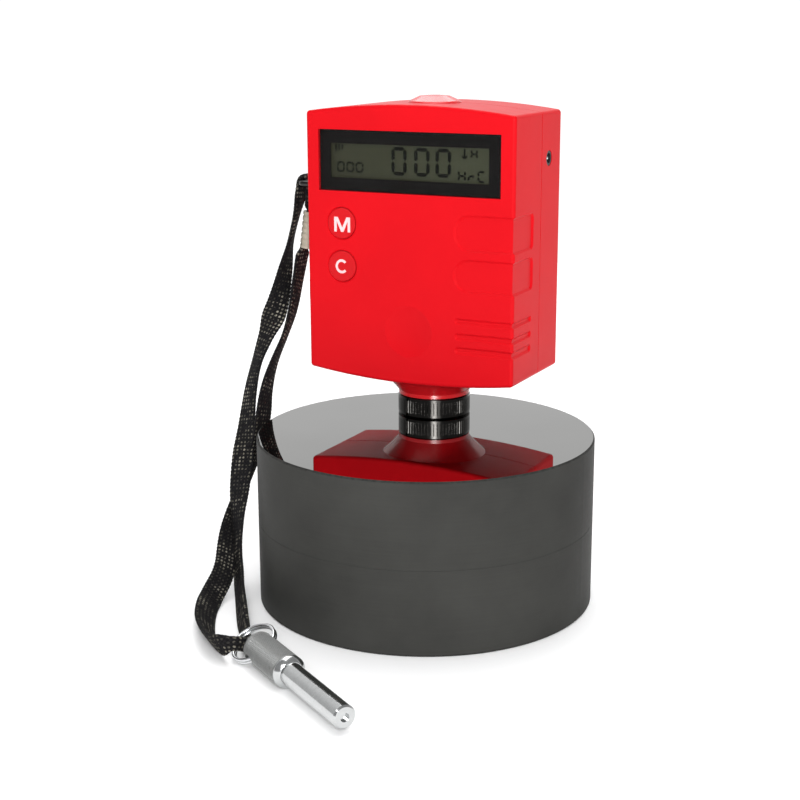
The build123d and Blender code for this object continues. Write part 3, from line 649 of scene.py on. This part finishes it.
verts, faces, rows = [], [], []
for r, t, knurled in prof:
    if r == 0.0:
        verts.append((END + D * t) * MM)
        rows.append([len(verts) - 1])
        continue
    row = []
    for j in range(ROUND):
        th = 2 * math.pi * j / ROUND
        rr = r
        if knurled:
            a = TEETH * j / ROUND + t / 0.82
            b = TEETH * j / ROUND - t / 0.82
            fade = min(1.0, (t - 0.9) / 0.3, (KNURL_END - t) / 0.3)
            rr = r - 0.17 * (1 - min(1.0, min(tri(a), tri(b)) * 1.55) * max(0.0, fade))
        verts.append((END + D * t + (HOLE * math.cos(th) + SIDE * math.sin(th)) * rr) * MM)
        row.append(len(verts) - 1)
    rows.append(row)
slots = []
for k, (r0, r1) in enumerate(zip(rows, rows[1:])):
    if len(r0) == 1:
        faces += [(r0[0], r1[(j + 1) % ROUND], r1[j]) for j in range(ROUND)]
    elif len(r1) == 1:
        faces += [(r0[j], r0[(j + 1) % ROUND], r1[0]) for j in range(ROUND)]
    else:
        faces += [(r0[j], r0[(j + 1) % ROUND], r1[(j + 1) % ROUND], r1[j]) for j in range(ROUND)]
    slots += [1 if k >= SMOOTH_FROM else 0] * ROUND
handle = add("knurled_handle", verts, faces, knurl_steel, "loading_rod", smooth=False)
handle.data.materials.append(rod_steel.mat)
for face, slot in zip(handle.data.polygons, slots):
    face.material_index = slot
    face.use_smooth = slot == 1
bm = bmesh.new()
bm.from_mesh(handle.data)
bmesh.ops.recalc_face_normals(bm, faces=bm.faces)
bm.to_mesh(handle.data)
bm.free()

# the cross hole, countersunk at both mouths
cut = [(0.0, -5.2), (2.95, -5.2), (2.75, -4.6), (1.72, -3.6), (1.7, -3.4), (1.7, 3.4), (1.72, 3.6), (2.75, 4.6), (2.95, 5.2), (0.0, 5.2)]
verts, faces, rows = [], [], []
SIDES = 64
for r, h in cut:
    c = END + D * HOLE_AT + HOLE * h
    if r == 0.0:
        verts.append(c * MM)
        rows.append([len(verts) - 1])
        continue
    rows.append([])
    for j in range(SIDES):
        th = 2 * math.pi * (j + 0.37) / SIDES
        verts.append((c + (D * math.cos(th) + SIDE * math.sin(th)) * r) * MM)
        rows[-1].append(len(verts) - 1)
for r0, r1 in zip(rows, rows[1:]):
    if len(r0) == 1:
        faces += [(r0[0], r1[(j + 1) % SIDES], r1[j]) for j in range(SIDES)]
    elif len(r1) == 1:
        faces += [(r0[j], r0[(j + 1) % SIDES], r1[0]) for j in range(SIDES)]
    else:
        faces += [(r0[j], r0[(j + 1) % SIDES], r1[(j + 1) % SIDES], r1[j]) for j in range(SIDES)]
mesh = bpy.data.meshes.new("hole_cutter")
mesh.from_pydata([tuple(v) for v in verts], [], faces)
bm = bmesh.new()
bm.from_mesh(mesh)
bmesh.ops.recalc_face_normals(bm, faces=bm.faces)
bm.to_mesh(mesh)
bm.free()
cutter = bpy.data.objects.new("hole_cutter", mesh)
scene.collection.objects.link(cutter)
mod = handle.modifiers.new("hole", "BOOLEAN")
mod.operation = "DIFFERENCE"
mod.solver = "EXACT"
mod.object = cutter
bpy.context.view_layer.update()
cut_mesh = bpy.data.meshes.new_from_object(handle.evaluated_get(bpy.context.evaluated_depsgraph_get()))
handle.modifiers.clear()
handle.data = cut_mesh
bpy.data.objects.remove(cutter)
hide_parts("rod_handle")

# ------------------------------------------------------------------ floor and light
bpy.ops.mesh.primitive_plane_add(size=1.1, location=(0, 0, 0))
floor = bpy.context.object
floor.name = "studio_floor"
fs = Shader("studio_floor", (0.93, 0.93, 0.93), 0.7)
fs.to(fs.ramp(fs.noise(3.0, 2.0), [(0.3, (0.92, 0.92, 0.92)), (0.7, (0.94, 0.94, 0.94))]), "Base Color")
fs.set("Specular IOR Level", 0.1)
paint(floor, fs)


def area(name, loc, aim, size, power, color=(1, 1, 1)):
    data = bpy.data.lights.new(name, "AREA")
    data.shape = "RECTANGLE"
    data.size, data.size_y = size
    data.energy = power
    data.color = color
    obj = bpy.data.objects.new(name, data)
    scene.collection.objects.link(obj)
    obj.location = loc
    obj.rotation_euler = (Vector(aim) - Vector(loc)).to_track_quat("-Z", "Y").to_euler()
    return obj


area("key", (0.36, -0.62, 0.30), (0, 0, 0.07), (0.4, 0.4), 2.1)
area("flash", (0.175, -0.36, 0.185), (0, 0, 0.06), (0.09, 0.09), 0.9)
area("top", (0.0, 0.05, 0.9), (0, 0, 0.0), (0.9, 0.9), 5.5)
area("behind", (-0.25, 0.60, 0.75), (-0.2, 0.42, 0.0), (0.7, 0.7), 4.0)

# the room: bright low down behind the object and below the floor's level, softer above and in front
world = bpy.data.worlds.new("studio")
scene.world = world
world.use_nodes = True
wt = world.node_tree
back = wt.nodes["Background"]
where = wt.nodes.new("ShaderNodeTexCoord").outputs["Generated"]
facing = wt.nodes.new("ShaderNodeVectorMath")
facing.operation = "DOT_PRODUCT"
facing.inputs[1].default_value = (-0.4505, 0.893, 0.0)
wt.links.new(where, facing.inputs[0])
ahead = wt.nodes.new("ShaderNodeValToRGB")
ahead.color_ramp.elements[0].position, ahead.color_ramp.elements[0].color = 0.20, (0.36, 0.36, 0.365, 1)
ahead.color_ramp.elements[1].position, ahead.color_ramp.elements[1].color = 0.62, (0.92, 0.92, 0.92, 1)
wt.links.new(facing.outputs["Value"], ahead.inputs["Fac"])
height = wt.nodes.new("ShaderNodeSeparateXYZ")
wt.links.new(where, height.inputs[0])
low = wt.nodes.new("ShaderNodeMapRange")
for key, value in (("From Min", 0.05), ("From Max", 0.0), ("To Min", 0.0), ("To Max", 1.0)):
    low.inputs[key].default_value = value
wt.links.new(height.outputs[2], low.inputs["Value"])
both = wt.nodes.new("ShaderNodeMix")
both.data_type = "RGBA"
wt.links.new(low.outputs["Result"], both.inputs[0])
wt.links.new(ahead.outputs["Color"], both.inputs[6])
both.inputs[7].default_value = (1.1, 1.1, 1.1, 1)
wt.links.new(both.outputs[2], back.inputs["Color"])
back.inputs["Strength"].default_value = 1.0
